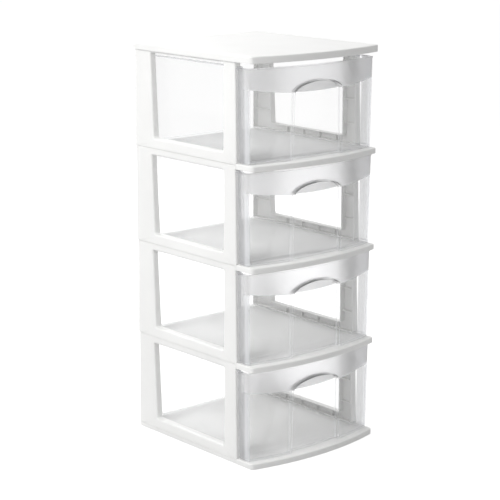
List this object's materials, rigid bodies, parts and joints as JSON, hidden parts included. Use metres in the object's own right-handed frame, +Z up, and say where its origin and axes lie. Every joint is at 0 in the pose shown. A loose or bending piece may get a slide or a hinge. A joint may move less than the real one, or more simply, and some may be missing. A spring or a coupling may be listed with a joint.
{
  "type": "drawer tower",
  "caption": "Free-standing plastic drawer tower: clear drawers with a bowed front and an arched finger recess slide in white frames with open side windows.",
  "frame": {"origin": "on the floor, at the middle of the tower's width and depth", "axes": "+X towards the viewer's right when facing the drawers, +Z up, and the drawers open towards -Y"},
  "size_m": [0.328, 0.374, 0.788],
  "materials": {
    "frame_white": "satin moulded polypropylene",
    "drawer_clear": "clear with a frosted band along the top"
  },
  "bodies": {
    "tower": {"base": "frame_white", "shelf_2": "frame_white", "shelf_3": "frame_white", "shelf_4": "frame_white", "top_panel": "frame_white", "side_frame_left_1": "frame_white", "side_frame_left_2": "frame_white", "side_frame_left_3": "frame_white", "side_frame_left_4": "frame_white", "side_frame_right_1": "frame_white", "side_frame_right_2": "frame_white", "side_frame_right_3": "frame_white", "side_frame_right_4": "frame_white"},
    "bottom_drawer": {"drawer_1": "drawer_clear"},
    "lower_drawer": {"drawer_2": "drawer_clear"},
    "upper_drawer": {"drawer_3": "drawer_clear"},
    "top_drawer": {"drawer_4": "drawer_clear"}
  },
  "joints": [
    {"name": "bottom_drawer_slide", "type": "slide", "parent": "tower", "child": "bottom_drawer", "axis": [0, -1, 0], "range_m": [0, 0.26]},
    {"name": "lower_drawer_slide", "type": "slide", "parent": "tower", "child": "lower_drawer", "axis": [0, -1, 0], "range_m": [0, 0.26]},
    {"name": "upper_drawer_slide", "type": "slide", "parent": "tower", "child": "upper_drawer", "axis": [0, -1, 0], "range_m": [0, 0.26]},
    {"name": "top_drawer_slide", "type": "slide", "parent": "tower", "child": "top_drawer", "axis": [0, -1, 0], "range_m": [0, 0.26]}
  ]
}
